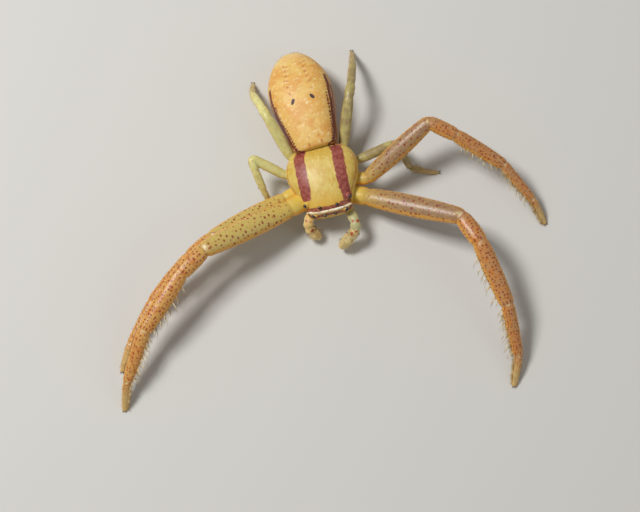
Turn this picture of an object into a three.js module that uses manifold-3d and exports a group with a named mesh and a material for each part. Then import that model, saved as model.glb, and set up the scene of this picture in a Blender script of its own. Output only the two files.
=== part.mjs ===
// A crab spider at life size: long pale abdomen, round carapace with a flat face, eight legs.
// Units are millimetres, +Z is up, the head faces -Y and the animal's left side is +X.
// The origin is on the floor, under the middle of the whole stance.
import * as THREE from "three";
import { mergeVertices } from "three/addons/utils/BufferGeometryUtils.js";
import Module from "manifold-3d";

const wasm = await Module();
wasm.setup();

// Driving sizes

const ROLL = { turn: -8, level: 1.3 }; // degrees that the trunk leans about Y, and the axis' height
const JOINT_GAP = 0.15; // clear space between two nodes that meet
const EYE_GAP = 0.05; // clear space round each eye in its socket
const LIMB_SIDES = 10; // faces round a leg
const BODY_SIDES = 24; // faces round the head and the abdomen
const SLIVER = 0.002; // faces thinner than this are dropped when solids are joined
const FLAT = 0.82; // a leg's thickness across the plane it bends in, against its depth in it
const BELT = 0.42; // the widest level of a body ring, as a share of its height
const SIDES = { left: 1, right: -1 };

const COLOUR = {
  carapace: 0xd9b04a,
  abdomen: 0xdfae5c,
  frontLeg: 0xc99245,
  hindLeg: 0xc9c070,
  palp: 0xd2b565,
  jaw: 0xb98a3c,
  eye: 0x17100c,
};

// Vectors and solids

const vec = (x, y, z) => new THREE.Vector3(x, y, z);
const radians = THREE.MathUtils.degToRad;

// A closed three.js geometry as a manifold solid.
function solid(geometry) {
  const bare = geometry.index ? geometry.clone() : geometry;
  for (const extra of ["normal", "uv"]) bare.deleteAttribute(extra);
  const merged = mergeVertices(bare, 1e-4);
  return new wasm.Manifold(
    new wasm.Mesh({
      numProp: 3,
      vertProperties: new Float32Array(merged.attributes.position.array),
      triVerts: new Uint32Array(merged.index.array),
      tolerance: SLIVER,
    }),
  );
}

// The joined solid of a list, of which only the largest closed surface is kept.
function fuse(list) {
  const joined = list.slice(1).reduce((sum, next) => sum.add(next), list[0]);
  return joined.decompose().sort((a, b) => b.volume() - a.volume())[0];
}

// A solid or a point of the upright trunk, leaned about a line along Y.
const leaned = (shape) =>
  shape.translate([0, 0, -ROLL.level]).rotate([0, ROLL.turn, 0]).translate([0, 0, ROLL.level]);
const leanedPoint = (point) => {
  const level = vec(0, 0, ROLL.level);
  return point.clone().sub(level).applyAxisAngle(vec(0, 1, 0), radians(ROLL.turn)).add(level);
};

// A named mesh from a manifold solid.
function nodeOf(name, shape, colour, roughness = 0.5) {
  const mesh = shape.getMesh();
  const corners = new Float32Array(mesh.numVert * 3);
  for (let i = 0; i < mesh.numVert; i++)
    corners.set(mesh.vertProperties.subarray(i * mesh.numProp, i * mesh.numProp + 3), i * 3);
  const geometry = new THREE.BufferGeometry()
    .setAttribute("position", new THREE.BufferAttribute(corners, 3))
    .setIndex(new THREE.BufferAttribute(mesh.triVerts, 1));
  geometry.computeVertexNormals();
  const finish = new THREE.MeshStandardMaterial({ color: colour, roughness, metalness: 0 });
  const node = new THREE.Mesh(geometry, finish);
  node.name = name;
  return node;
}

// A ball, used for knuckles, sockets and eyes.
function ball(centre, radius, detail = 10) {
  const sphere = new THREE.SphereGeometry(radius, detail, Math.round(detail * 0.7));
  return solid(sphere.translate(centre.x, centre.y, centre.z));
}

// A square block that stands on the plane through a point and fills the side its normal points to.
function halfSpace(point, normal, width) {
  const block = new THREE.BoxGeometry(width, width, width).translate(0, 0, width / 2);
  block.applyQuaternion(new THREE.Quaternion().setFromUnitVectors(vec(0, 0, 1), normal));
  return solid(block.translate(point.x, point.y, point.z));
}

// One leg segment: a turned profile laid from one joint to the next and flattened across the
// bending plane. Ends are round and run a little past both joints, so that segments fuse.
const ROUND_END = { past: 0.55, shoulder: 0.68, narrow: 0.72 }; // shares of the end's radius
const SEGMENT_RINGS = [0, 0.22, 0.48, 0.75, 1]; // shares of its length

function segment(from, to, across, girth) {
  const length = from.distanceTo(to);
  const [start, middle, end] = girth;
  const { past, shoulder, narrow } = ROUND_END;
  const profile = [new THREE.Vector2(0, -start * past)];
  profile.push(new THREE.Vector2(start * narrow, -start * past * shoulder));
  for (const share of SEGMENT_RINGS) {
    const swell = 4 * share * (1 - share);
    const ends = start + (end - start) * share;
    profile.push(new THREE.Vector2(ends + (middle - (start + end) / 2) * swell, length * share));
  }
  profile.push(new THREE.Vector2(end * narrow, length + end * past * shoulder));
  profile.push(new THREE.Vector2(0, length + end * past));
  const turned = new THREE.LatheGeometry(profile, LIMB_SIDES);
  const along = to.clone().sub(from).normalize();
  const side = across.clone().addScaledVector(along, -across.dot(along)).normalize();
  const deep = new THREE.Vector3().crossVectors(along, side);
  const place = new THREE.Matrix4().makeBasis(deep, along, side.multiplyScalar(FLAT));
  place.setPosition(from);
  return solid(turned.applyMatrix4(place));
}

// A body form: rings across Y, each with a half width, a top and a bottom, blended by a spline
// between the stations. Its rings are superellipses: roundness 2 is an ellipse, 1 a diamond.
function bodyForm(stations, rings, roundTop, roundBottom, grow = 0) {
  const spline = (key) => new THREE.SplineCurve(stations.map((s, i) => new THREE.Vector2(i, s[key])));
  const curves = { y: spline("y"), wide: spline("wide"), top: spline("top"), low: spline("low") };
  const profile = [];
  for (let i = 0; i <= rings; i++) profile.push(new THREE.Vector2(i % rings ? 1 : 0, i / rings));
  const form = new THREE.LatheGeometry(profile, BODY_SIDES);
  const spot = form.attributes.position;
  for (let i = 0; i < spot.count; i++) {
    const share = spot.getY(i);
    const at = (key) => curves[key].getPoint(share).y;
    const angle = Math.atan2(spot.getZ(i), spot.getX(i));
    const reach = Math.hypot(spot.getX(i), spot.getZ(i));
    const [top, low] = [at("top") + grow, at("low") - grow];
    const belt = low + (top - low) * BELT;
    const power = 2 / (Math.sin(angle) > 0 ? roundTop : roundBottom);
    const x = Math.sign(Math.cos(angle)) * Math.abs(Math.cos(angle)) ** power * (at("wide") + grow);
    const height = Math.sin(angle) > 0 ? top - belt : belt - low;
    const z = belt + Math.sign(Math.sin(angle)) * Math.abs(Math.sin(angle)) ** power * height * reach;
    const y = at("y") + grow * (2 * share - 1);
    spot.setXYZ(i, x * reach, y, z);
  }
  return form;
}

// Head and thorax, one hard shell: flat sloping face, round sides, a slope down to the waist

const HEAD = [
  { y: -2.12, wide: 0.54, top: 1.5, low: 1.12 },
  { y: -2.08, wide: 0.8, top: 1.68, low: 0.98 },
  { y: -1.92, wide: 1.0, top: 1.85, low: 0.86 },
  { y: -1.6, wide: 1.07, top: 2.0, low: 0.76 },
  { y: -1.08, wide: 1.28, top: 2.12, low: 0.7 },
  { y: -0.5, wide: 1.55, top: 2.18, low: 0.68 },
  { y: 0.05, wide: 1.64, top: 2.17, low: 0.68 },
  { y: 0.55, wide: 1.55, top: 2.06, low: 0.7 },
  { y: 0.95, wide: 1.27, top: 1.78, low: 0.76 },
  { y: 1.2, wide: 0.8, top: 1.5, low: 0.88 },
  { y: 1.3, wide: 0.45, top: 1.34, low: 1.0 },
];
const HEAD_RINGS = 22;
const RIDGE = { wide: 1.06, y: -2.0, back: 0.2, z: 1.78, drop: 0.24, radius: 0.065, points: 8, sides: 8 };

const HEAD_ROUND = { top: 2.3, low: 1.7 };

const headForm = (grow) =>
  leaned(solid(bodyForm(HEAD, HEAD_RINGS, HEAD_ROUND.top, HEAD_ROUND.low, grow)));

// The pale ridge that crosses the face between the two rows of eyes.
function faceRidge() {
  const points = [];
  for (let x = -1; x <= 1; x += 2 / RIDGE.points)
    points.push(vec(x * RIDGE.wide, RIDGE.y + RIDGE.back * x * x, RIDGE.z - RIDGE.drop * x * x));
  const round = new THREE.Shape().absarc(0, 0, RIDGE.radius, 0, 2 * Math.PI);
  const extrudePath = new THREE.CatmullRomCurve3(points);
  const settings = { steps: RIDGE.points * 1.5, curveSegments: RIDGE.sides / 2, extrudePath };
  return leaned(solid(new THREE.ExtrudeGeometry(round, settings)));
}

// Eyes: two curved rows of four, the outer ones on low tubercles
const EYES = {
  back_median: { x: 0.39, y: -1.8, z: 1.9, radius: 0.075 },
  back_lateral: { x: 1.02, y: -1.52, z: 1.76, radius: 0.1 },
  front_median: { x: 0.24, y: -2.1, z: 1.54, radius: 0.075 },
  front_lateral: { x: 0.74, y: -2.03, z: 1.56, radius: 0.1 },
};
const TUBERCLE = { grow: 1.9, inward: 0.08, back: 0.06, down: 0.06 }; // under a lateral eye

function headWithEyes() {
  const tubercles = [];
  const sockets = [];
  const eyes = [];
  for (const [row, eye] of Object.entries(EYES))
    for (const [side, sign] of Object.entries(SIDES)) {
      const centre = leanedPoint(vec(sign * eye.x, eye.y, eye.z));
      if (row.endsWith("lateral")) {
        const base = centre.clone().add(vec(-sign * TUBERCLE.inward, TUBERCLE.back, -TUBERCLE.down));
        tubercles.push(ball(base, eye.radius * TUBERCLE.grow));
      }
      sockets.push(ball(centre, eye.radius + EYE_GAP));
      eyes.push(nodeOf(`eye_${row}_${side}`, ball(centre, eye.radius), COLOUR.eye, 0.1));
    }
  const shell = fuse([headForm(0), faceRidge(), ...tubercles]);
  const carved = fuse([sockets.reduce((left, socket) => left.subtract(socket), shell)]);
  return [nodeOf("cephalothorax", carved, COLOUR.carapace, 0.35), ...eyes];
}

// Abdomen: long, flat-topped, widest behind the middle, on a short waist, with spinnerets

const BELLY = [
  { y: 0.98, wide: 0.62, top: 1.98, low: 1.12 },
  { y: 1.06, wide: 0.92, top: 2.12, low: 0.92 },
  { y: 1.4, wide: 1.07, top: 2.24, low: 0.72 },
  { y: 2.1, wide: 1.21, top: 2.36, low: 0.58 },
  { y: 2.9, wide: 1.38, top: 2.42, low: 0.52 },
  { y: 3.7, wide: 1.45, top: 2.4, low: 0.52 },
  { y: 4.4, wide: 1.36, top: 2.26, low: 0.58 },
  { y: 5.05, wide: 1.06, top: 2.02, low: 0.7 },
  { y: 5.5, wide: 0.68, top: 1.76, low: 0.88 },
  { y: 5.72, wide: 0.32, top: 1.54, low: 1.1 },
];
const BELLY_RINGS = 20;
const BELLY_ROUND = { top: 2.5, low: 2.2 };
const BELLY_SET = { turn: 4.6, x: -0.07 }; // swung and set a little to the animal's right
const WAIST = { radius: 0.26, z: 1.22, from: 1.1, to: 1.7 };
// two pairs, the second one behind the first and level with it
const SPINNERETS = { y: 5.2, z: 0.92, x: 0.17, length: 0.42, radius: 0.13, along: 0.8, down: 0.55 };
const SPINNERET_PAIRS = [{ back: 0, drop: 0.05 }, { back: 0.26, drop: 0 }];

function abdomen() {
  const pieces = [solid(bodyForm(BELLY, BELLY_RINGS, BELLY_ROUND.top, BELLY_ROUND.low))];
  const level = vec(0, 0, 1);
  const waist = (y) => vec(0, y, WAIST.z);
  const girth = [WAIST.radius, WAIST.radius, WAIST.radius];
  pieces.push(segment(waist(WAIST.from), waist(WAIST.to), level, girth));
  for (const sign of Object.values(SIDES))
    for (const { back, drop } of SPINNERET_PAIRS) {
      const { x, y, z, length, radius, along, down } = SPINNERETS;
      const root = vec(sign * x, y + back, z);
      const tip = root.clone().add(vec(0, length * along, -length * down - drop));
      pieces.push(segment(root, tip, level, [radius, radius, radius * 0.6]));
    }
  const pivot = vec(0, HEAD.at(-1).y, 0);
  const whole = fuse(pieces).translate([0, -pivot.y, 0]);
  const turned = leaned(whole.rotate([0, 0, BELLY_SET.turn]).translate([BELLY_SET.x, pivot.y, 0]));
  return nodeOf("abdomen", fuse([turned.subtract(headForm(JOINT_GAP))]), COLOUR.abdomen, 0.55);
}

// Legs. Lengths and girths (diameters at start, middle and end) are shared by a pair.
// Turns are degrees round Z from +X, one for each segment; heights are those of the joints.

const SEGMENTS = ["coxa", "femur", "patella", "tibia", "metatarsus", "tarsus"];
const PAIRS = {
  1: {
    length: [1.2, 4.5, 1.47, 3.05, 2.42, 1.3],
    girth: [[0.7, 0.84, 0.82], [0.82, 1.0, 0.76], [0.7, 0.82, 0.76],
      [0.74, 0.82, 0.66], [0.6, 0.58, 0.44], [0.38, 0.35, 0.23]],
    root: [0.7, -1.02],
    spines: { tibia: 5, metatarsus: 5 },
  },
  2: {
    length: [1.12, 3.8, 1.35, 2.62, 2.12, 1.2],
    girth: [[0.48, 0.58, 0.58], [0.6, 0.84, 0.64], [0.6, 0.68, 0.62],
      [0.6, 0.66, 0.52], [0.46, 0.45, 0.37], [0.35, 0.33, 0.22]],
    root: [0.86, -0.42],
    spines: { tibia: 4, metatarsus: 4 },
  },
  3: {
    length: [0.84, 1.8, 0.6, 1.1, 0.7, 0.6],
    girth: [[0.4, 0.46, 0.42], [0.4, 0.46, 0.39], [0.37, 0.4, 0.37],
      [0.35, 0.36, 0.3], [0.29, 0.27, 0.22], [0.21, 0.19, 0.14]],
    root: [0.86, 0.22],
  },
  4: {
    length: [0.72, 2.12, 0.68, 1.45, 0.85, 0.6],
    girth: [[0.44, 0.5, 0.46], [0.45, 0.51, 0.43], [0.42, 0.44, 0.4],
      [0.38, 0.38, 0.34], [0.31, 0.28, 0.22], [0.21, 0.18, 0.14]],
    root: [0.72, 0.62],
  },
};
const STANCE = {
  leg_1_left: {
    turns: [-24, -28, -67, -76, -87, -110],
    height: [1.0, 1.12, 2.4, 2.54, 1.64, 0.5, 0.07],
  },
  leg_1_right: {
    turns: [-159, -161, -145, -134, -121, -108],
    height: [1.05, 1.32, 2.4, 2.38, 1.7, 0.78, 0.06],
  },
  leg_2_left: {
    turns: [-14, 28, -35, -38, -57, -70],
    height: [1.0, 1.24, 2.7, 2.45, 1.52, 0.62, 0.06],
  },
  leg_2_right: {
    turns: [-158, -160, -149, -142, -129, -118],
    height: [0.92, 0.97, 1.5, 1.45, 0.85, 0.4, 0.07],
  },
  leg_3_left: {
    turns: [7, 13, -67, -55, -26, -9],
    height: [0.9, 0.98, 1.12, 1.26, 0.32, 0.22, 0.04],
  },
  leg_3_right: {
    turns: [184, 148, -82, -74, -66, -70],
    height: [0.95, 1.2, 1.95, 1.71, 1.0, 0.49, 0.03],
  },
  leg_4_left: {
    turns: [48, 72, 71, 75, 81, 82],
    height: [0.98, 1.16, 2.0, 1.96, 1.15, 0.51, 0.03],
  },
  leg_4_right: {
    turns: [146, 114, 106, 103, 83, 77],
    height: [0.98, 1.2, 2.42, 2.25, 1.18, 0.51, 0.03],
  },
};
// The three lengths that a leg is parted into, by their segments.
const LENGTHS = { femur: [0, 1], tibia: [2, 3], foot: [4, 5] };

// The joints of a limb, walked from its root by each segment's length, turn and end height.
function joints(root, length, turns, height) {
  const found = [vec(root[0], root[1], height[0])];
  length.forEach((reach, i) => {
    const rise = height[i + 1] - height[i];
    const run = Math.sqrt(reach * reach - rise * rise);
    const turn = radians(turns[i]);
    found.push(found[i].clone().add(vec(run * Math.cos(turn), run * Math.sin(turn), rise)));
  });
  return found;
}

// Spines under a segment: two rows of tapered bristles that lean towards the foot. The rows are
// staggered, the last spines are shorter, and each root is sunk to a share of the limb's radius.
const SPINE = { length: 0.55, radius: 0.06, spread: 34, lean: 38, sides: 5 };
const SPINE_ROW = { start: 0.7, stagger: 0.25, end: 0.2, shorter: 0.25, sunk: 0.7 };

function spines(from, to, inward, girth, count) {
  const along = to.clone().sub(from).normalize();
  const made = [];
  for (let i = 0; i < count; i++)
    for (const row of [-1, 1]) {
      const share = (i + SPINE_ROW.start + SPINE_ROW.stagger * row) / (count + SPINE_ROW.end);
      const away = inward.clone().applyAxisAngle(along, radians(SPINE.spread * row));
      const lean = radians(SPINE.lean);
      const point = away.clone().multiplyScalar(Math.cos(lean)).addScaledVector(along, Math.sin(lean));
      const length = SPINE.length * (1 - SPINE_ROW.shorter * share);
      const cone = new THREE.ConeGeometry(SPINE.radius, length, SPINE.sides).translate(0, length / 2, 0);
      cone.applyQuaternion(new THREE.Quaternion().setFromUnitVectors(vec(0, 1, 0), point));
      const depth = ((girth[0] + (girth[2] - girth[0]) * share) / 2) * SPINE_ROW.sunk;
      const root = from.clone().lerp(to, share).addScaledVector(away, depth);
      made.push(solid(cone.translate(root.x, root.y, root.z)));
    }
  return made;
}

// A whole leg, then its three nodes with thin cuts between them.
const CUT = { floor: 3, joint: 1.2 }; // widths of the blocks that trim a foot and a joint

function leg(name, pair, stance, sign) {
  const points = joints([sign * pair.root[0], pair.root[1]], pair.length, stance.turns, stance.height);
  const up = vec(0, 0, 1);
  const floor = halfSpace(points.at(-1).clone().setZ(0), vec(0, 0, -1), CUT.floor);
  const cutAt = (i) => {
    const into = points[i].clone().sub(points[i - 1]).normalize();
    const out = points[i + 1].clone().sub(points[i]).normalize();
    return { point: points[i], normal: into.add(out).normalize() };
  };
  return Object.entries(LENGTHS).map(([part, [first, last]]) => {
    const pieces = [];
    for (let i = first; i <= last; i++) {
      const radii = pair.girth[i].map((wide) => wide / 2);
      pieces.push(segment(points[i], points[i + 1], up, radii));
      const count = pair.spines?.[SEGMENTS[i]];
      if (!count) continue;
      const along = points[i + 1].clone().sub(points[i]).normalize();
      const inward = new THREE.Vector3().crossVectors(along, up).normalize().multiplyScalar(sign);
      pieces.push(...spines(points[i], points[i + 1], inward, pair.girth[i], count));
    }
    let shape = fuse(pieces);
    const trim = (cut, side) => {
      const normal = cut.normal.clone().multiplyScalar(side);
      const start = cut.point.clone().addScaledVector(normal, -JOINT_GAP / 2);
      shape = shape.subtract(halfSpace(start, normal, CUT.joint));
    };
    if (first > 0) trim(cutAt(first), -1);
    else shape = shape.subtract(headForm(JOINT_GAP));
    if (last < SEGMENTS.length - 1) trim(cutAt(last + 1), 1);
    else shape = shape.subtract(floor);
    const colour = pair.spines ? COLOUR.frontLeg : COLOUR.hindLeg;
    return nodeOf(`${name}_${part}`, fuse([shape]), colour, 0.4);
  });
}

// Palps, the short feelers beside the mouth, and the jaws between them

const PALP = {
  length: [0.45, 0.92, 0.42, 0.48, 0.72],
  girth: [[0.4, 0.44, 0.42], [0.42, 0.46, 0.44], [0.44, 0.48, 0.46], [0.46, 0.5, 0.5], [0.5, 0.52, 0.32]],
  root: [0.52, -1.5],
  left: { turns: [-41, -77, -94, -144, -150], height: [0.89, 0.97, 1.21, 1.06, 0.79, 0.45] },
  right: { turns: [-154, -121, -92, -60, -35], height: [0.88, 0.8, 1.04, 0.84, 0.61, 0.28] },
};
const PALP_SHRINK = { left: 0.9, right: 0.66 }; // the right one is drawn in under the face

function palp(side) {
  const sign = SIDES[side];
  const { turns, height } = PALP[side];
  const length = PALP.length.map((l) => l * PALP_SHRINK[side]);
  const points = joints([sign * PALP.root[0], PALP.root[1]], length, turns, height);
  const pieces = PALP.girth.map((girth, i) =>
    segment(points[i], points[i + 1], vec(0, 0, 1), girth.map((wide) => wide / 2)));
  const shape = fuse(pieces).subtract(headForm(JOINT_GAP));
  return nodeOf(`palp_${side}`, fuse([shape]), COLOUR.palp, 0.45);
}

const JAW = { x: 0.3, y: -1.72, top: 1.25, tip: 0.42, converge: 0.85, back: 0.12, girth: [0.44, 0.46, 0.3] };
const FANG = { in: 0.05, back: 0.12, down: 0.12, radii: [0.09, 0.07, 0.03] };

function jaw(side) {
  const sign = SIDES[side];
  const root = leanedPoint(vec(sign * JAW.x, JAW.y, JAW.top));
  const tip = leanedPoint(vec(sign * JAW.x * JAW.converge, JAW.y + JAW.back, JAW.tip));
  const shank = segment(root, tip, vec(0, 1, 0), JAW.girth.map((wide) => wide / 2));
  const bite = tip.clone().add(vec(-sign * FANG.in, FANG.back, -FANG.down));
  const fang = segment(tip, bite, vec(0, 1, 0), FANG.radii);
  const shape = fuse([shank, fang]).subtract(headForm(JOINT_GAP));
  return nodeOf(`jaw_${side}`, fuse([shape]), COLOUR.jaw, 0.4);
}

// The whole animal, set so that the middle of its stance is the origin

const spider = new THREE.Group();
spider.add(...headWithEyes(), abdomen());
for (const side of Object.keys(SIDES)) {
  spider.add(palp(side), jaw(side));
  for (const [number, pair] of Object.entries(PAIRS)) {
    const name = `leg_${number}_${side}`;
    spider.add(...leg(name, pair, STANCE[name], SIDES[side]));
  }
}
const middle = new THREE.Box3().setFromObject(spider).getCenter(vec(0, 0, 0));
spider.position.set(-middle.x, -middle.y, 0);

export default spider;
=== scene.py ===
import bpy
import numpy as np
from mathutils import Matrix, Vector


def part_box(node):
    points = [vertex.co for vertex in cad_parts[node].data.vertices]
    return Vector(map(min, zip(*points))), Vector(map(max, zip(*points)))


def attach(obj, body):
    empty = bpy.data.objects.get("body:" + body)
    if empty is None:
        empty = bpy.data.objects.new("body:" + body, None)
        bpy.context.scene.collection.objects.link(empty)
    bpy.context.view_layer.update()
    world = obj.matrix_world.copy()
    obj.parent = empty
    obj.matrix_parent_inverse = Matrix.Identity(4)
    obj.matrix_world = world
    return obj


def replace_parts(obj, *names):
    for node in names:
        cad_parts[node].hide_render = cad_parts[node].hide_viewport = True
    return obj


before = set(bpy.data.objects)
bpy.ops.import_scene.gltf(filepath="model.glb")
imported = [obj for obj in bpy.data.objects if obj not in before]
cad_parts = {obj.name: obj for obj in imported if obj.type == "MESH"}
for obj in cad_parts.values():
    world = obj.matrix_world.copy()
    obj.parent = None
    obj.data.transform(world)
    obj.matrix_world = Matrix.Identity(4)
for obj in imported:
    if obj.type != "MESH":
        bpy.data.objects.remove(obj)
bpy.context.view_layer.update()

# The hard shell over head and thorax
# One piece of thin, hard skin, domed behind and cut off square at the face, with a low pale ridge
# across it between the two rows of eyes. The legs, palps and jaws hang in sockets on its underside.

MM = 0.001
LEAN = np.radians(-8)  # the trunk leans a little to the animal's right
LEAN_LEVEL = 1.3  # height of the line that it leans about
BELT = 0.42  # the widest level of a ring, as a share of its height
ENDS = 0.035  # the share of the rings, at each end, that draws in to close it
# place along Y, half width, top, underside
SHELL = np.array([
    [-2.12, 0.54, 1.50, 1.12], [-2.08, 0.80, 1.68, 0.98], [-1.92, 1.00, 1.85, 0.86],
    [-1.60, 1.07, 2.00, 0.76], [-1.08, 1.28, 2.12, 0.70], [-0.50, 1.55, 2.18, 0.68],
    [0.05, 1.64, 2.17, 0.68], [0.55, 1.55, 2.06, 0.70], [0.95, 1.27, 1.78, 0.76],
    [1.20, 0.80, 1.50, 0.88], [1.30, 0.45, 1.34, 1.00],
])
RIDGE = dict(wide=1.06, y=-2.0, back=0.2, z=1.79, drop=0.24, radius=0.06)
# half distance between the pair, place along Y, height, radius
EYES = dict(
    back_median=(0.39, -1.80, 1.90, 0.075),
    back_lateral=(1.02, -1.52, 1.76, 0.10),
    front_median=(0.24, -2.10, 1.54, 0.075),
    front_lateral=(0.74, -2.03, 1.56, 0.10),
)
SIDES = dict(left=1.0, right=-1.0)


def turned(x, y, angle):
    """Two coordinates turned about the third: x cos - y sin, and x sin + y cos."""
    c, s = np.cos(angle), np.sin(angle)
    return x * c - y * s, x * s + y * c


def unlean(points):
    """Points of the leaned trunk set upright, by a turn about the line that it leans about."""
    x, z = turned(points[..., 0], points[..., 2] - LEAN_LEVEL, LEAN)
    return np.stack([x, points[..., 1], z + LEAN_LEVEL], -1)


def lean(points):
    """Upright points leaned: the same turn the other way."""
    x, z = turned(points[..., 0], points[..., 2] - LEAN_LEVEL, -LEAN)
    return np.stack([x, points[..., 1], z + LEAN_LEVEL], -1)


low, high = (np.array(corner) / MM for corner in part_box("eye_back_median_left"))
eye = np.array(EYES["back_median"][:3])
SHIFT = (low + high) / 2 - lean(eye)  # from the trunk's own axes to the model's


def blended(stations, share):
    """Rows of stations joined by a Catmull-Rom blend, a cubic whose slope at each row is half the
    step between its neighbours, read at each share from 0, the first row, to 1, the last."""
    last = len(stations) - 1
    place = np.clip(np.asarray(share) * last, 0, last - 1e-9)
    i = place.astype(int)
    t = (place - i)[:, None]
    a, b = stations[np.maximum(i - 1, 0)], stations[i]
    c, d = stations[i + 1], stations[np.minimum(i + 2, last)]
    out, back = (c - a) / 2, (d - b) / 2
    cubed, squared = 2 * b - 2 * c + out + back, 3 * c - 3 * b - 2 * out - back
    return cubed * t**3 + squared * t**2 + out * t + b


def ringed(stations, rings, sides, round_top, round_low):
    """Rings across Y. Each is a superellipse, cos and sin to the power 2 / roundness, as wide as
    the blended half width and reaching from the belt up to the top and down to the underside. The
    first and last hundredths draw in on a quarter circle, so that both ends close round."""
    share = 0.5 - 0.5 * np.cos(np.pi * np.linspace(0, 1, rings))
    y, wide, top, under = blended(stations, share).T[..., None]
    end = np.clip(np.minimum(share, 1 - share) / ENDS, 0, 1)[:, None]
    reach = np.sqrt(1 - (1 - end) ** 2)
    angle = np.linspace(0, 2 * np.pi, sides, endpoint=False)[None]
    c, s = np.cos(angle), np.sin(angle)
    power = 2 / np.where(s > 0, round_top, round_low)
    belt = under + (top - under) * BELT
    x = np.sign(c) * np.abs(c) ** power * wide * reach
    height = np.where(s > 0, top - belt, belt - under)
    z = belt + np.sign(s) * np.abs(s) ** power * height * reach
    return np.stack([x, y + 0 * x, z], -1)


def placed(name, data):
    """An object with the given mesh, light or camera, put in the scene."""
    obj = bpy.data.objects.new(name, data)
    bpy.context.scene.collection.objects.link(obj)
    return obj


def closed_piece(name, rings):
    """A mesh object over a grid of rings in the trunk's millimetres, with a fan to the middle of
    each end ring. A volume below nought means that the faces look inward, and they are then
    reversed."""
    n, m = rings.shape[:2]
    ends = [rings[0].mean(0), rings[-1].mean(0)]
    points = (np.concatenate([rings.reshape(-1, 3), ends]) + SHIFT) * MM
    i, j = np.meshgrid(np.arange(n - 1), np.arange(m), indexing="ij")
    a, b = i * m + j, i * m + (j + 1) % m
    quads = np.stack([a, b, b + m, a + m], -1).reshape(-1, 4)
    k = np.arange(m)
    first = np.stack([np.full(m, n * m), (k + 1) % m, k], -1)
    last = np.stack([np.full(m, n * m + 1), (n - 1) * m + k, (n - 1) * m + (k + 1) % m], -1)
    tri = np.concatenate([quads[:, :3], quads[:, [0, 2, 3]], first, last])
    p, q, r = points[tri].transpose(1, 0, 2)
    volume = np.einsum("ij,ij->i", p, np.cross(q, r)).sum()
    faces = [list(map(int, f)) for f in [*quads, *first, *last]]
    if volume < 0:
        faces = [f[::-1] for f in faces]
    mesh = bpy.data.meshes.new(name)
    mesh.from_pydata(points.tolist(), [], faces)
    return placed(name, mesh)


def smoothed(t):
    """3t² - 2t³ between 0 and 1."""
    t = np.clip(t, 0, 1)
    return t * t * (3 - 2 * t)


GROOVE_WIDTH, GROOVE_DEPTH = 0.11, 0.012
shell_rings = ringed(SHELL, 120, 132, 2.3, 1.7)
x, y, z = np.moveaxis(shell_rings, -1, 0)
# shallow grooves run from behind the outer eyes back to the middle of the thorax
over = smoothed((z - 1.5) / 0.4)
groove = np.abs(x) - (0.25 + 0.5 * np.clip((0.35 - y) / 1.6, 0, 1))
along = smoothed((0.6 - y) / 0.4) * smoothed((y + 1.4) / 0.5)
shell_rings[..., 2] -= GROOVE_DEPTH * over * along * np.exp(-((groove / GROOVE_WIDTH) ** 2))
shell = closed_piece("shell", lean(shell_rings))


def ways(line):
    """At each point of a line, the way ahead, the level side square to it, and up square to
    both."""
    ahead = np.gradient(line, axis=0)
    ahead /= np.linalg.norm(ahead, axis=1, keepdims=True)
    side = np.cross(ahead, [0.0, 0.0, 1.0])
    side /= np.linalg.norm(side, axis=1, keepdims=True)
    return ahead, side, np.cross(side, ahead)


def circles(line, radius, side, up, sides, flat=1.0):
    """Circles about a line: the radius times the cosine of the angle to the side, and flat times
    the radius times its sine upward."""
    angle = np.linspace(0, 2 * np.pi, sides, endpoint=False)[None, :, None]
    across = np.cos(angle) * side[:, None] + flat * np.sin(angle) * up[:, None]
    return line[:, None] + radius[:, None, None] * across


def ridge_at(t):
    """The ridge's middle line: t of its half width aside, and back and down by t squared."""
    back, drop = RIDGE["back"] * t**2, RIDGE["drop"] * t**2
    return np.stack([t * RIDGE["wide"], RIDGE["y"] + back, RIDGE["z"] - drop], -1)


t = np.linspace(-1, 1, 49)
ridge_line = ridge_at(t)
ridge_radius = RIDGE["radius"] * np.sqrt(1.02 - t**8)  # even, and drawn in at both ends
side, up = ways(ridge_line)[1:]
ridge = closed_piece("ridge", lean(circles(ridge_line, ridge_radius, side, up, 16)))

POLE_GAP = 0.06  # angle between a ball's pole and its first ring
MOUND = dict(inward=0.08, back=0.06, down=0.06, size=1.75)  # low mounds carry the outer eyes


def ball(centre, radius):
    """A sphere as rings about Z: radius times the sine and cosine of the angle from the pole."""
    turn = np.linspace(POLE_GAP, np.pi - POLE_GAP, 24)[:, None]
    angle = np.linspace(0, 2 * np.pi, 32, endpoint=False)[None]
    x, y = np.sin(turn) * np.cos(angle), np.sin(turn) * np.sin(angle)
    return np.asarray(centre) + radius * np.stack([x, y, np.cos(turn) + 0 * angle], -1)


tubercles = []
for row in ("back_lateral", "front_lateral"):
    x, y, z, radius = EYES[row]
    for side, sign in SIDES.items():
        centre = [sign * (x - MOUND["inward"]), y + MOUND["back"], z - MOUND["down"]]
        mound = ball(lean(np.array(centre)), radius * MOUND["size"])
        tubercles.append(closed_piece(f"tubercle_{row}_{side}", mound))


def wire(tree, kind, *values, output=0, **settings):
    """One shader node: its settings, then its inputs in order, each a number, a colour or an
    output."""
    node = tree.nodes.new(kind)
    for key, value in settings.items():
        setattr(node, key, value)
    for socket, value in zip(node.inputs, values):
        if isinstance(value, bpy.types.NodeSocket):
            tree.links.new(value, socket)
        elif value is not None:
            socket.default_value = value
    return node.outputs[output]


def sums(tree, operation, a, b=0.0, c=0.0):
    """One step of arithmetic: the operation on two numbers, or on three where it takes them."""
    return wire(tree, "ShaderNodeMath", a, b, c, operation=operation)


def step(tree, value, start, end):
    """0 before start, 1 after end, and a smooth rise between."""
    return wire(tree, "ShaderNodeMapRange", value, start, end, 0.0, 1.0,
                interpolation_type="SMOOTHSTEP")


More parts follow.
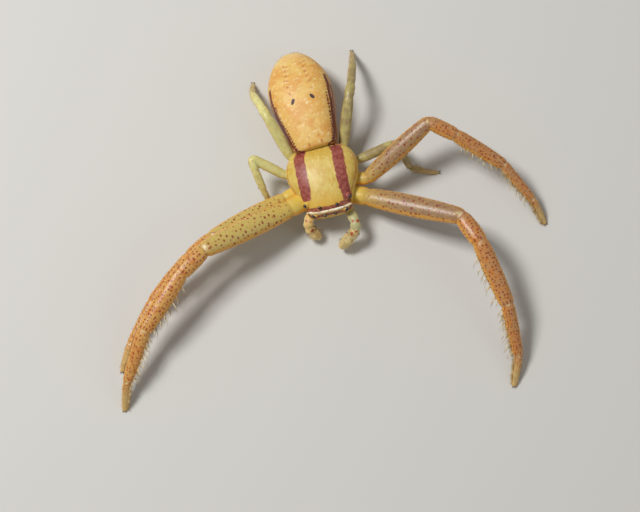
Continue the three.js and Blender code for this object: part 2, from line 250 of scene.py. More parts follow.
def mixed(tree, share, a, b):
    """Colour a, turning to b as share goes from 0 to 1."""
    other_kinds = (None,) * 5
    return wire(tree, "ShaderNodeMix", share, *other_kinds, a, b, output=2, data_type="RGBA")


def noise(tree, place, scale, detail=3.0, roughness=0.55):
    """Cloudy noise, about scale clouds to each unit of the place that it is read at."""
    return wire(tree, "ShaderNodeTexNoise", place, None, scale, detail, roughness)


def dotted(tree, place, scale, small, large, randomness):
    """Round dots, one to a cell of a flat net, scale cells to a millimetre, of sizes small to
    large. A dot is where the distance to its middle is less than its size, with a soft edge."""
    soft = 0.04
    rest = (None, scale, None, None, None, None, None, randomness)
    away = wire(tree, "ShaderNodeTexVoronoi", place, *rest, voronoi_dimensions="2D")
    chance = wire(tree, "ShaderNodeTexVoronoi", place, *rest, output=1, voronoi_dimensions="2D")
    share = wire(tree, "ShaderNodeSeparateColor", chance)
    size = sums(tree, "MULTIPLY_ADD", share, large - small, small)
    return step(tree, sums(tree, "SUBTRACT", away, size), soft, -soft)


def field(tree, name, output="Fac"):
    """A number or place that the skin carries at each of its points."""
    node = tree.nodes.new("ShaderNodeAttribute")
    node.attribute_name = name
    return node.outputs[output]


def shade(red, green, blue):
    """A colour from its 0 to 255 screen values, as the shaders take it."""
    value = np.array([red, green, blue]) / 255
    linear = np.where(value <= 0.04045, value / 12.92, ((value + 0.055) / 1.055) ** 2.4)
    return (*map(float, linear), 1.0)


def finish(name, rough=0.4, glow=0.3, depth=0.25, coat=0.0):
    """A material with its shader: how rough, how much light it lets in and how many millimetres
    deep."""
    made = bpy.data.materials.new(name)
    made.use_nodes = True
    tree = made.node_tree
    shader = tree.nodes["Principled BSDF"]
    shader.inputs["Roughness"].default_value = rough
    shader.inputs["Subsurface Weight"].default_value = glow
    shader.inputs["Subsurface Radius"].default_value = (1.0, 0.55, 0.2)
    shader.inputs["Subsurface Scale"].default_value = depth * MM
    shader.inputs["Coat Weight"].default_value = coat
    shader.inputs["Coat Roughness"].default_value = 0.2
    return made, tree, shader


def surfaced(tree, shader, colour, height, strength, depth):
    """Joins a colour to the shader, and a height, depth millimetres deep, as bumps."""
    tree.links.new(colour, shader.inputs["Base Color"])
    bump = tree.nodes.new("ShaderNodeBump")
    bump.inputs["Strength"].default_value = strength
    bump.inputs["Distance"].default_value = depth * MM
    tree.links.new(height, bump.inputs["Height"])
    tree.links.new(bump.outputs["Normal"], shader.inputs["Normal"])


def tinted(tree, colour, share, amount, paint):
    """A colour with paint laid over it by the share times the amount."""
    return mixed(tree, sums(tree, "MULTIPLY", share, amount), colour, paint)


def wavering(tree, place, scale, detail, roughness, reach):
    """Noise about nought, half the reach either way, that makes edges uneven."""
    cloud = noise(tree, place, scale, detail, roughness)
    return sums(tree, "MULTIPLY", sums(tree, "SUBTRACT", cloud, 0.5), reach)


def marking(tree, name, uneven, amount, outside, inside):
    """The share of a marking: the distance that the skin carries to it, plus amount times the
    uneven number, rises smoothly from 0 at outside to 1 at inside."""
    away = sums(tree, "ADD", field(tree, name), sums(tree, "MULTIPLY", uneven, amount))
    return step(tree, away, outside, inside)


# Shell finish: honey yellow with two broad red-brown bands, a brown band behind the pale ridge and
# a thin one under it, and a thin red line just above each side edge.
shell_skin, tree, shader = finish("shell_skin", rough=0.45, glow=0.15, depth=0.15, coat=0.04)
own = field(tree, "own", "Vector")
clouds = noise(tree, own, 2.2, 4.0)
grain = noise(tree, own, 14.0, 4.0, 0.65)
drawn_out = wire(tree, "ShaderNodeVectorMath", own, (1.0, 0.25, 1.0), operation="MULTIPLY")
streaks = noise(tree, drawn_out, 16.0, 3.0)
colour = mixed(tree, step(tree, clouds, 0.36, 0.68), shade(220, 192, 98), shade(210, 170, 68))
colour = mixed(tree, step(tree, streaks, 0.52, 0.72), colour, shade(230, 208, 132))
colour = tinted(tree, colour, field(tree, "front"), 0.75, shade(222, 172, 60))
wobble = wavering(tree, own, 6.0, 4.0, 0.65, 0.17)
bands = marking(tree, "red", wobble, 1.0, 0.025, -0.02)
blotch = noise(tree, own, 7.0, 4.0, 0.7)
maroon = mixed(tree, step(tree, blotch, 0.38, 0.62), shade(138, 56, 44), shade(172, 96, 82))
maroon = mixed(tree, step(tree, grain, 0.58, 0.74), maroon, shade(112, 40, 36))
colour = mixed(tree, bands, colour, maroon)
thin = marking(tree, "rim", wobble, 0.25, 0.015, -0.01)
colour = tinted(tree, colour, thin, 0.85, shade(196, 84, 30))
brow = marking(tree, "brow", wobble, 0.7, 0.02, -0.015)
brown = mixed(tree, step(tree, blotch, 0.4, 0.62), shade(112, 48, 36), shade(178, 106, 74))
colour = mixed(tree, brow, colour, brown)
buff = step(tree, noise(tree, own, 7.0, 4.0), 0.38, 0.62)
cream = mixed(tree, buff, shade(250, 242, 214), shade(222, 180, 116))
colour = mixed(tree, marking(tree, "ridge", wobble, 0.4, 0.014, -0.006), colour, cream)
pits = wire(tree, "ShaderNodeTexVoronoi", own, None, 16.0)
rough = sums(tree, "ADD", pits, sums(tree, "MULTIPLY", grain, 0.6))
surfaced(tree, shader, colour, rough, 0.3, 0.01)

# The abdomen
# A soft bag of thin skin, flat above and widest behind its middle, joined to the thorax by a narrow
# waist. Pale grains show through the skin, and dark broken lines run down both upper sides.
BELLY = np.array([
    [0.98, 0.62, 1.98, 1.12], [1.06, 0.92, 2.12, 0.92], [1.40, 1.07, 2.24, 0.72],
    [2.10, 1.21, 2.36, 0.58], [2.90, 1.38, 2.42, 0.52], [3.70, 1.45, 2.40, 0.52],
    [4.40, 1.36, 2.26, 0.58], [5.05, 1.06, 2.02, 0.70], [5.50, 0.68, 1.76, 0.88],
    [5.72, 0.32, 1.54, 1.10],
])
BELLY_TURN = np.radians(4.6)  # the bag swings to the animal's right about the waist
BELLY_X = -0.07  # and is set a little to that side
WAIST_Y = 1.3
WAIST = dict(radius=0.26, z=1.22, start=0.9, end=1.7)
SPINNERETS = dict(y=5.2, z=0.92, x=0.17, length=0.42, radius=0.13, aim=(0, 0.8, -0.55))
SPINNERET_PAIRS = ((0.0, 0.05), (0.26, 0.0))  # how far back each pair is set and its tips sink
DIMPLES = ((0.45, 3.2, 0.12), (0.5, 4.1, 0.1), (0.5, 4.6, 0.1), (0.36, 2.1, 0.1))  # x, y, reach
DIMPLE_DEPTH = 0.035
FOLD_DEPTH, FOLD_PITCH = 0.008, 0.19
BELLY_RINGS, BELLY_SIDES = 150, 144
DOME = 0.55  # how far a rod's end stands out, as a share of its radius


def swing(points):
    """Points of the straight bag turned about the upright line through the waist and set aside."""
    x, y = turned(points[..., 0], points[..., 1] - WAIST_Y, BELLY_TURN)
    return np.stack([x + BELLY_X, y + WAIST_Y, points[..., 2]], -1)


def unswing(points):
    """The same points set and turned back."""
    x, y = turned(points[..., 0] - BELLY_X, points[..., 1] - WAIST_Y, -BELLY_TURN)
    return np.stack([x, y + WAIST_Y, points[..., 2]], -1)


belly_rings = ringed(BELLY, BELLY_RINGS, BELLY_SIDES, 2.5, 2.2)
x, y, z = np.moveaxis(belly_rings, -1, 0)
# muscles pull the back in at shallow dimples, and the sides are faintly folded lengthwise
dimples = sum(
    np.exp(-((np.abs(x) - aside) ** 2 + (y - along) ** 2) / reach**2)
    for aside, along, reach in DIMPLES)
folds = np.sin(z * 2 * np.pi / FOLD_PITCH + 1.6 * np.sin(y * 1.3)) * smoothed((1.95 - z) / 0.3)
belly_rings[..., 2] -= DIMPLE_DEPTH * dimples * (z > 1.5)
belly_rings[..., 0] += np.sign(x) * FOLD_DEPTH * folds * smoothed(np.abs(x) / 0.4)
belly = closed_piece("belly", lean(swing(belly_rings)))


def rod(start, end, radii, sides=24):
    """A straight rod with domed ends: a round pipe whose radius is a parabola through three values
    and closes on a quarter circle past both ends."""
    start, end, radii = (np.asarray(v, float) for v in (start, end, radii))
    ahead = (end - start) / np.linalg.norm(end - start)
    share = np.linspace(0, 1, 24)
    radius = radii[0] + (radii[2] - radii[0]) * share
    radius = radius + (radii[1] - (radii[0] + radii[2]) / 2) * 4 * share * (1 - share)
    turn = np.linspace(0.1, np.pi / 2, 7)[:-1]
    line = np.concatenate([
        start - ahead * radii[0] * DOME * np.cos(turn)[:, None],
        start + (end - start) * share[:, None],
        end + ahead * radii[2] * DOME * np.cos(turn[::-1])[:, None]])
    wide = np.concatenate([radii[0] * np.sin(turn), radius, radii[2] * np.sin(turn[::-1])])
    side = np.cross(ahead, [0.0, 0.0, 1.0])
    side = side / np.linalg.norm(side)
    return circles(line, wide, side[None], np.cross(side, ahead)[None], sides)


waist_line = [np.array([0.0, WAIST[key], WAIST["z"]]) for key in ("start", "end")]
trunk_parts = [closed_piece("waist", lean(swing(rod(*waist_line, [WAIST["radius"]] * 3))))]
for side, sign in SIDES.items():
    for back, down in SPINNERET_PAIRS:
        root = np.array([sign * SPINNERETS["x"], SPINNERETS["y"] + back, SPINNERETS["z"]])
        tip = root + SPINNERETS["length"] * np.array(SPINNERETS["aim"]) - [0, 0, down]
        r = SPINNERETS["radius"]
        trunk_parts.append(closed_piece(
            f"spinneret_{side}_{back}", lean(swing(rod(root, tip, [r, r, 0.6 * r])))))

# Abdomen finish: straw yellow under pale flakes and fine grains, browner low down the sides, partly
# as painted shade that is heavier on the animal's left, with the broken red-brown lines, two dark
# spots and rows of orange dashes on the back.
belly_skin, tree, shader = finish("belly_skin", rough=0.5, glow=0.2, depth=0.2)
own = field(tree, "own", "Vector")
clouds = noise(tree, own, 1.6, 4.0)
flakes = noise(tree, own, 6.5, 5.0, 0.7)
grain = noise(tree, own, 16.0, 4.0, 0.65)
colour = mixed(tree, step(tree, clouds, 0.34, 0.68), shade(234, 192, 106), shade(226, 162, 74))
colour = mixed(tree, step(tree, flakes, 0.5, 0.7), colour, shade(244, 218, 158))
colour = tinted(tree, colour, step(tree, grain, 0.54, 0.76), 0.6, shade(218, 154, 78))
colour = mixed(tree, field(tree, "front"), colour, shade(244, 220, 158))
# the browner low sides of the bag, partly its own colour and partly painted shade
edge = mixed(tree, step(tree, grain, 0.4, 0.6), shade(150, 74, 44), shade(204, 140, 88))
colour = mixed(tree, field(tree, "flank_and_shade"), colour, edge)
wobble = wavering(tree, own, 13.0, 3.0, 0.6, 0.11)
blush = marking(tree, "orange", wobble, 1.8, 0.03, -0.04)
colour = tinted(tree, colour, blush, 0.75, shade(190, 104, 46))
dark_red = mixed(tree, step(tree, grain, 0.42, 0.6), shade(84, 24, 24), shade(142, 62, 50))
colour = mixed(tree, marking(tree, "red", wobble, 1.0, 0.02, -0.015), colour, dark_red)
colour = mixed(tree, marking(tree, "rim", wobble, 0.4, 0.015, -0.015), colour, shade(58, 22, 22))
creases = noise(tree, own, 5.0, 5.0, 0.6)
rough = sums(tree, "ADD", creases, sums(tree, "MULTIPLY", grain, 0.5))
surfaced(tree, shader, colour, rough, 0.4, 0.025)

# The legs
# Each leg is a chain of tubes of the same hard skin, hinged by soft joints that show as slight
# waists. Six tubes are drawn: the real second one is very short and counts here with the first.
# The front two pairs are long, curved inward and held level; the hind two are short props.
FLAT = 0.82  # thickness across the plane that a leg bends in, against its depth in it
LONG_GRID, SHORT_GRID = (230, 36), (110, 28)  # rings and sides of a long leg and a short one
CAP_RINGS = 8  # further rings that close each end of a limb
JOINT_REACH = 0.09  # how far the waist at a joint runs along the limb
# lengths of coxa, femur, patella, tibia, metatarsus and tarsus; widths at start, middle and end
PAIRS = {
    1: dict(length=[1.2, 4.5, 1.47, 3.05, 2.42, 1.3],
            girth=[[0.70, 0.84, 0.82], [0.82, 1.00, 0.76], [0.70, 0.82, 0.76],
                   [0.74, 0.82, 0.66], [0.60, 0.58, 0.44], [0.38, 0.35, 0.23]], root=(0.70, -1.02)),
    2: dict(length=[1.12, 3.8, 1.35, 2.62, 2.12, 1.2],
            girth=[[0.48, 0.58, 0.58], [0.60, 0.84, 0.64], [0.60, 0.68, 0.62],
                   [0.60, 0.66, 0.52], [0.46, 0.45, 0.37], [0.35, 0.33, 0.22]], root=(0.86, -0.42)),
    3: dict(length=[0.84, 1.8, 0.6, 1.1, 0.7, 0.6],
            girth=[[0.40, 0.46, 0.42], [0.40, 0.46, 0.39], [0.37, 0.40, 0.37],
                   [0.35, 0.36, 0.30], [0.29, 0.27, 0.22], [0.21, 0.19, 0.14]], root=(0.86, 0.22)),
    4: dict(length=[0.72, 2.12, 0.68, 1.45, 0.85, 0.6],
            girth=[[0.44, 0.50, 0.46], [0.45, 0.51, 0.43], [0.42, 0.44, 0.40],
                   [0.38, 0.38, 0.34], [0.31, 0.28, 0.22], [0.21, 0.18, 0.14]], root=(0.72, 0.62)),
}
# turns in degrees round Z from +X for each length, and the heights of the joints
STANCE = dict(
    leg_1_left=([-24, -28, -67, -76, -87, -110], [1.0, 1.12, 2.4, 2.54, 1.64, 0.5, 0.07]),
    leg_1_right=([-159, -161, -145, -134, -121, -108], [1.05, 1.32, 2.4, 2.38, 1.7, 0.78, 0.06]),
    leg_2_left=([-14, 28, -35, -38, -57, -70], [1.0, 1.24, 2.7, 2.45, 1.52, 0.62, 0.06]),
    leg_2_right=([-158, -160, -149, -142, -129, -118], [0.92, 0.97, 1.5, 1.45, 0.85, 0.4, 0.07]),
    leg_3_left=([7, 13, -67, -55, -26, -9], [0.9, 0.98, 1.12, 1.26, 0.32, 0.22, 0.04]),
    leg_3_right=([184, 148, -82, -74, -66, -70], [0.95, 1.2, 1.95, 1.71, 1.0, 0.49, 0.03]),
    leg_4_left=([48, 72, 71, 75, 81, 82], [0.98, 1.16, 2.0, 1.96, 1.15, 0.51, 0.03]),
    leg_4_right=([146, 114, 106, 103, 83, 77], [0.98, 1.2, 2.42, 2.25, 1.18, 0.51, 0.03]),
)


def joints(root, length, turns, height):
    """The joints of a limb: each lies its length from the last, at its turn, at its own height."""
    turn, rise = np.radians(turns), np.diff(height)
    run = np.sqrt(np.array(length) ** 2 - rise**2)
    steps = np.stack([run * np.cos(turn), run * np.sin(turn), rise], -1)
    return np.concatenate([[[*root, height[0]]], [*root, height[0]] + np.cumsum(steps, 0)])


def limb(points, girth, rings, sides, bend=0.16, waist=0.1):
    """A limb: the broken line through its joints, rounded by averaging over bend millimetres, with
    flattened circles square to it. Each length's radius is a parabola through its three widths,
    drawn in near every joint. Returns the rings, and for each ring its middle, side, up, radius,
    length run from the root, and part: whole numbers at the joints, counted from the root."""
    points, girth = np.asarray(points), np.asarray(girth)
    reach = np.linalg.norm(np.diff(points, axis=0), axis=1)
    stops = np.concatenate([[0], np.cumsum(reach)])
    run = np.linspace(0, stops[-1], rings)
    offset = np.linspace(-1.5, 1.5, 13) * bend
    weight = np.exp(-((offset / bend) ** 2))
    fade = np.minimum(np.minimum(run, stops[-1] - run) / (1.5 * bend), 1)
    samples = run[:, None] + offset[None] * fade[:, None]
    spread = (np.interp(samples, stops, points[:, k]) * weight for k in range(3))
    line = np.stack([axis.sum(1) / weight.sum() for axis in spread], -1)
    part = np.interp(run, stops, np.arange(len(stops)))
    i = np.minimum(part.astype(int), len(girth) - 1)
    t = part - i
    radius = girth[i, 0] + (girth[i, 2] - girth[i, 0]) * t
    radius = (radius + (girth[i, 1] - (girth[i, 0] + girth[i, 2]) / 2) * 4 * t * (1 - t)) / 2
    near = np.abs(run[:, None] - stops[None, 1:-1])
    radius = radius * (1 - waist * np.exp(-((near / JOINT_REACH) ** 2)).sum(1))
    ahead, side, up = ways(line)
    closing = np.linspace(0.15, np.pi / 2, CAP_RINGS + 1)[:-1]
    past = radius[-1] * 0.8
    tip = line[-1] + ahead[-1] * past * np.cos(closing[::-1])[:, None]
    tail = line[0] - ahead[0] * radius[0] * 0.6 * np.cos(closing)[:, None]
    line = np.concatenate([tail, line, tip])
    ends = radius[0] * np.sin(closing), radius[-1] * np.sin(closing[::-1])
    radius = np.concatenate([ends[0], radius, ends[1]])
    side, up = (np.pad(v, ((CAP_RINGS, CAP_RINGS), (0, 0)), "edge") for v in (side, up))
    run, part = (np.pad(v, CAP_RINGS, "edge") for v in (run, part))
    grid = circles(line, radius, side, up, sides, FLAT)
    grid[..., 2] = np.maximum(grid[..., 2], 0.0)
    return grid, dict(line=line, side=side, up=up, radius=radius, run=run, part=part)


limbs = {}
limb_parts = []
for name, (turns, height) in STANCE.items():
    number, side = int(name[4]), name[6:]
    pair = PAIRS[number]
    root = SIDES[side] * pair["root"][0], pair["root"][1]
    points = joints(root, pair["length"], turns, height)
    grid, limbs[name] = limb(points, pair["girth"], *(LONG_GRID if number < 3 else SHORT_GRID))
    limb_parts.append(closed_piece(name, grid))


def limb_fields(tree):
    """What a limb's skin carries: its place, part, top and side of the animal, and a fine grain."""
    own = field(tree, "own", "Vector")
    grain = noise(tree, own, 15.0, 4.0, 0.65)
    return own, field(tree, "part"), field(tree, "top"), field(tree, "flank_and_shade"), grain


# Front leg finish: olive thighs and orange-brown shins, both painted darker and pinker on the
# animal's left as shade, with orange edges painted for light glowing through the thin skin, under
# red-brown dots that are large and apart on the thighs and small and close further out. Pale flecks
# are painted glints, and the pale joints partly so.
front_skin, tree, shader = finish("front_leg_skin", rough=0.3, glow=0.12, depth=0.12)
own, part, top, left, grain = limb_fields(tree)
net = field(tree, "net", "Vector")
clouds = noise(tree, own, 3.0, 3.0)
# the thighs and shins of the animal's left limbs are painted darker and pinker, as shade
thigh = mixed(tree, left, shade(202, 178, 98), shade(160, 126, 94))
thigh = tinted(tree, thigh, step(tree, clouds, 0.36, 0.7), 0.3, shade(204, 164, 84))
shin = mixed(tree, left, shade(214, 160, 84), shade(196, 142, 88))
shin = mixed(tree, step(tree, clouds, 0.4, 0.66), shin, shade(204, 132, 62))
colour = mixed(tree, step(tree, part, 0.5, 1.45), shade(226, 192, 80), thigh)
colour = mixed(tree, step(tree, part, 1.85, 2.3), colour, shin)
colour = tinted(tree, colour, step(tree, part, 4.8, 5.7), 0.8, shade(208, 180, 116))
# orange edges along the sides of each limb, painted for light glowing through the thin skin
edge = step(tree, sums(tree, "ABSOLUTE", sums(tree, "SUBTRACT", top, 0.05)), 0.74, 0.34)
colour = tinted(tree, colour, edge, 0.85, shade(238, 170, 54))
# pale flecks from the grain are painted glints
colour = tinted(tree, colour, step(tree, grain, 0.56, 0.76), 0.7, shade(238, 208, 150))
large = sums(tree, "MULTIPLY", dotted(tree, net, 4.5, 0.09, 0.26, 0.7), step(tree, part, 2.15, 1.9))
specks = sums(tree, "MULTIPLY", dotted(tree, net, 9.0, -0.05, 0.2, 0.9), 0.6)
close = sums(tree, "MULTIPLY", dotted(tree, net, 5.9, 0.14, 0.3, 0.68), step(tree, part, 1.85, 2.1))
dots = sums(tree, "MAXIMUM", sums(tree, "MAXIMUM", large, close), specks)
between = sums(tree, "MULTIPLY", step(tree, part, 0.9, 1.2), step(tree, part, 5.7, 5.0))
dots = sums(tree, "MULTIPLY", dots, between)
dots = sums(tree, "MULTIPLY", dots, step(tree, top, -0.6, -0.2))
colour = tinted(tree, colour, dots, 0.9, shade(146, 58, 40))
# pale joints, partly the pale soft skin and partly painted glints, reaching further round the top
colour = mixed(tree, step(tree, field(tree, "rim"), 0.03, -0.02), colour, shade(244, 224, 176))
surfaced(tree, shader, colour, grain, 0.5, 0.02)

# Hind leg finish: thin yellow-green skin with orange edges painted for light glowing through its
# sides, greyer on the animal's left as painted shade, and pale flecks painted as glints.
hind_skin, tree, shader = finish("hind_leg_skin", rough=0.38, glow=0.25, depth=0.2)
own, part, top, left, grain = limb_fields(tree)
clouds = noise(tree, own, 3.0, 3.0)
# the animal's left hind legs are painted greyer, as shade
colour = mixed(tree, left, shade(228, 218, 144), shade(160, 140, 92))
colour = tinted(tree, colour, step(tree, clouds, 0.4, 0.66), 0.6, shade(204, 194, 118))
colour = mixed(tree, step(tree, part, 1.1, 0.7), colour, shade(222, 200, 92))
colour = tinted(tree, colour, step(tree, part, 3.4, 5.0), 0.6, shade(198, 158, 104))
# orange edges along the sides, painted for light glowing through the thin skin
edge = step(tree, sums(tree, "ABSOLUTE", top), 0.5, 0.1)
colour = tinted(tree, colour, edge, 0.75, shade(224, 178, 70))
# pale flecks from the grain are painted glints
colour = tinted(tree, colour, step(tree, grain, 0.58, 0.8), 0.7, shade(236, 226, 164))
surfaced(tree, shader, colour, grain, 0.3, 0.015)

# The palps and jaws
# Two short feelers of the same hard skin, each five lengths and a rounded tip, curl in before the
# face, and between them a pair of stout jaws hangs straight down, each with a small folding fang.
PALP_LENGTH = np.array([0.45, 0.92, 0.42, 0.48, 0.72])
PALP_GIRTH = [[0.40, 0.44, 0.42], [0.42, 0.46, 0.44], [0.44, 0.48, 0.46],
              [0.46, 0.50, 0.50], [0.50, 0.52, 0.32]]
PALP_ROOT = (0.52, -1.5)
# size against the full length, then turns and joint heights as for the legs
PALPS = dict(
    left=(0.9, [-41, -77, -94, -144, -150], [0.89, 0.97, 1.21, 1.06, 0.79, 0.45]),
    right=(0.66, [-154, -121, -92, -60, -35], [0.88, 0.8, 1.04, 0.84, 0.61, 0.28]),
)
JAW = dict(x=0.3, y=-1.72, top=1.25, girth=(0.44, 0.46, 0.3), tip=0.42, narrow=0.85, back=0.12)
FANG = dict(inward=0.05, back=0.12, drop=0.12, radii=(0.07, 0.055, 0.012))
for side, (size, turns, height) in PALPS.items():
    points = joints((SIDES[side] * PALP_ROOT[0], PALP_ROOT[1]), PALP_LENGTH * size, turns, height)
    grid, limbs[f"palp_{side}"] = limb(points, PALP_GIRTH, 90, 28, bend=0.1, waist=0.12)
    limb_parts.append(closed_piece(f"palp_{side}", grid))
for side, sign in SIDES.items():
    root = lean(np.array([sign * JAW["x"], JAW["y"], JAW["top"]]))
    tip = lean(np.array([sign * JAW["x"] * JAW["narrow"], JAW["y"] + JAW["back"], JAW["tip"]]))
    trunk_parts.append(closed_piece(f"jaw_{side}", rod(root, tip, np.array(JAW["girth"]) / 2)))
    bite = tip + [-sign * FANG["inward"], FANG["back"], -FANG["drop"]]
    trunk_parts.append(closed_piece(f"fang_{side}", rod(tip, bite, FANG["radii"], sides=12)))

palp_skin, tree, shader = finish("palp_skin", rough=0.4, glow=0.2, depth=0.15)
own, part, top, left, grain = limb_fields(tree)
# the animal's left palp is painted greyer, as shade
base = mixed(tree, left, shade(228, 192, 118), shade(190, 184, 132))
colour = mixed(tree, step(tree, top, -0.2, 0.8), shade(242, 230, 178), base)
colour = tinted(tree, colour, step(tree, part, 2.6, 3.2), 0.6, shade(232, 200, 130))
patch = marking(tree, "rim", grain, 0.08, 0.09, 0.03)
colour = mixed(tree, patch, colour, shade(176, 72, 30))
# pale flecks from the grain are painted glints
colour = mixed(tree, step(tree, grain, 0.58, 0.78), colour, shade(240, 226, 178))
surfaced(tree, shader, colour, grain, 0.3, 0.015)

jaw_skin, tree, shader = finish("jaw_skin", rough=0.32, glow=0.2, depth=0.2, coat=0.2)
own = field(tree, "own", "Vector")
grain = noise(tree, own, 12.0, 4.0)
colour = mixed(tree, step(tree, grain, 0.4, 0.7), shade(206, 152, 70), shade(150, 82, 40))
surfaced(tree, shader, colour, grain, 0.3, 0.015)

# One skin over the whole animal
# Shell, bag, legs, palps and jaws are parts of one living skin, so they are joined into one closed
# surface, which then carries at each point where it is on its own part and how near each marking.
skin = shell
skin.name = skin.data.name = "skin"
for piece in [ridge, *tubercles, belly, *trunk_parts, *limb_parts]:
    union = skin.modifiers.new("union", "BOOLEAN")
    union.operation, union.solver, union.object = "UNION", "MANIFOLD", piece
    evaluated = skin.evaluated_get(bpy.context.evaluated_depsgraph_get())
    joined = bpy.data.meshes.new_from_object(evaluated)
    skin.modifiers.clear()
    skin.data = joined
    bpy.data.objects.remove(piece)

count = len(skin.data.vertices)
place = np.empty(count * 3, np.float32)
skin.data.vertices.foreach_get("co", place)
place = place.reshape(-1, 3) / MM - SHIFT
upright = unlean(place)
bag = unswing(upright)
NONE = 9.0  # distance given where a marking is nowhere near
REGIONS = range(6)
SHELL_REGION, BELLY_REGION, FRONT_REGION, HIND_REGION, PALP_REGION, JAW_REGION = REGIONS
region = np.full(count, SHELL_REGION)
own = upright.copy()
net = np.zeros((count, 3))  # along and round a limb, for its dots
# distances to the markings, below nought inside them: rim is the side lines of the shell, the spots
# of the bag, the pale joints of a leg, partly painted glints, or the blots of a palp; orange is the
# dashes of the bag
# shares from 0 to 1: front is the golden face and the pale tail, flank the browner low sides of the
# bag, partly painted shade, and it marks a limb on the animal's left, which the finishes paint in
# shade; part and top are the place along and the height round a limb
fields = {key: np.full(count, NONE) for key in ("red", "rim", "brow", "orange", "ridge")}
fields |= {key: np.zeros(count) for key in ("front", "flank_and_shade", "part", "top")}

x, y, z = upright.T
ridge_spot = ridge_at(np.clip(x / RIDGE["wide"], -1, 1))
fields["ridge"] = np.linalg.norm(upright - ridge_spot, axis=-1) - RIDGE["radius"] * 1.1
region[(y > 0.95) & (np.abs(bag[:, 1] - 3.4) < 2.6)] = BELLY_REGION
region[(y < -1.2) & (z < 0.98)] = JAW_REGION
belly_top = np.interp(bag[:, 1], BELLY[:, 0], BELLY[:, 2])
belly_low = np.interp(bag[:, 1], BELLY[:, 0], BELLY[:, 3])
belly_wide = np.interp(bag[:, 1], BELLY[:, 0], BELLY[:, 1])
bag_height = belly_top - belly_low
level = belly_low + bag_height * BELT
lies = (np.abs(bag[:, 0]) / belly_wide) ** 2.5
lies += np.abs((bag[:, 2] - level) / (bag_height * 0.58)) ** 2.5
region[(region == BELLY_REGION) & (bag[:, 1] < 1.35) & (lies < 0.93)] = SHELL_REGION

# the two bands, the thin side lines and the brown band behind and under the ridge
reach = np.clip((0.95 - y) / 0.35, 0, 1)
centre = 0.79 + 0.09 * smoothed(reach) + 0.05 * smoothed((-1.0 - y) / 0.6)
half = 0.2 + 0.05 * smoothed((y + 1.5) / 0.9)
across = np.abs(np.abs(x) - centre) - half
ends = np.maximum(y - 0.98, np.where(x > 0, -1.66, -1.36) - y)
fields["red"] = np.where(z > 1.5, np.maximum(across, ends), NONE)
side_line = np.maximum(np.abs(z - 1.64) - 0.02, np.maximum(y - 0.5, -1.4 - y))
fields["rim"] = np.where(np.abs(x) > 1.0, side_line, NONE)
brow_line = RIDGE["y"] + RIDGE["back"] * (x / RIDGE["wide"]) ** 2
upper = np.maximum(y - brow_line - 0.2 - 0.04 * (x > 0.5), brow_line - 0.05 - y)
lower_level = 1.62 - 0.2 * (x / RIDGE["wide"]) ** 2
lower = np.maximum(y - brow_line - 0.02, np.abs(z - lower_level) - 0.09)
fields["brow"] = np.where(z > 1.3, np.minimum(np.where(z > 1.5, upper, NONE), lower), NONE)
fields["front"] = smoothed((-1.0 - y) / 0.8) * (y < 0)

# the broken lines, spots and dashes of the bag, and its stained sides
DASHES = ((0.5, 3.6, 0.07, 0.05), (0.53, 3.95, 0.11, 0.055), (0.5, 4.25, 0.12, 0.05),
          (0.46, 4.5, 0.13, 0.05), (0.42, 4.75, 0.14, 0.045), (0.4, 5.0, 0.16, 0.04),
          (0.3, 1.12, 0.05, 0.09), (0.24, 1.42, 0.05, 0.05))  # x, y, half length, half width
on_belly = region == BELLY_REGION
own[on_belly] = bag[on_belly]
bx, by, bz = bag.T
share = (bz - level) / (belly_top - level)
tall = belly_top - level
wavy = 0.03 * np.sin(by * 2.1 + np.sign(bx))
beads = 0.022 * np.cos(by * 2 * np.pi / 0.13)
start = 0.9 - by
main_x = (0.925 - 0.3 * wavy) * belly_wide
main = np.maximum(np.abs(np.abs(bx) - main_x) - 0.05, np.maximum(start, by - 4.2))
inner_line = np.abs(share - 0.66 - wavy) * tall - 0.022 - beads
inner_line = np.maximum(inner_line, np.maximum(start, by - 3.3))
outer_line = np.abs(share - 0.3 - wavy) * tall - 0.04
outer_line = np.maximum(outer_line, np.maximum(start, by - 3.7))
belly_red = np.minimum(main, np.minimum(inner_line, outer_line))
belly_red = np.where((np.abs(bx) > 0.5 * belly_wide) & (share > 0), belly_red, NONE)
above = bz > level
aside = np.abs(bx - 0.08)  # the marks of the back lie a little to the animal's left
spot = np.hypot((aside - 0.45 + 0.4 * (by - 3.2)) / 0.62, by - 3.2) - 0.14
belly_spot = np.where(above, spot, NONE)
dashes = np.full(count, NONE)
for dx, dy, long, thick in DASHES:
    away = (np.hypot((aside - dx) / long, (by - dy - 0.35 * (aside - dx)) / thick) - 1) * thick
    dashes = np.minimum(dashes, np.where(above, away, NONE))
for key, value in (("red", belly_red), ("rim", belly_spot), ("orange", dashes)):
    fields[key][on_belly] = value[on_belly]
# the low sides, partly their own brown and partly painted shade, heavier on the animal's left
browner_sides_and_shade = smoothed((0.5 - share) / 0.2) * smoothed((4.3 - by) / 0.8) * np.where(bx > 0, 0.85, 0.55)
fields["flank_and_shade"][on_belly] = browner_sides_and_shade[on_belly]
fields["ridge"][on_belly] = NONE
fields["front"][on_belly] = (smoothed((by - 4.9) / 0.9) * 0.6)[on_belly]

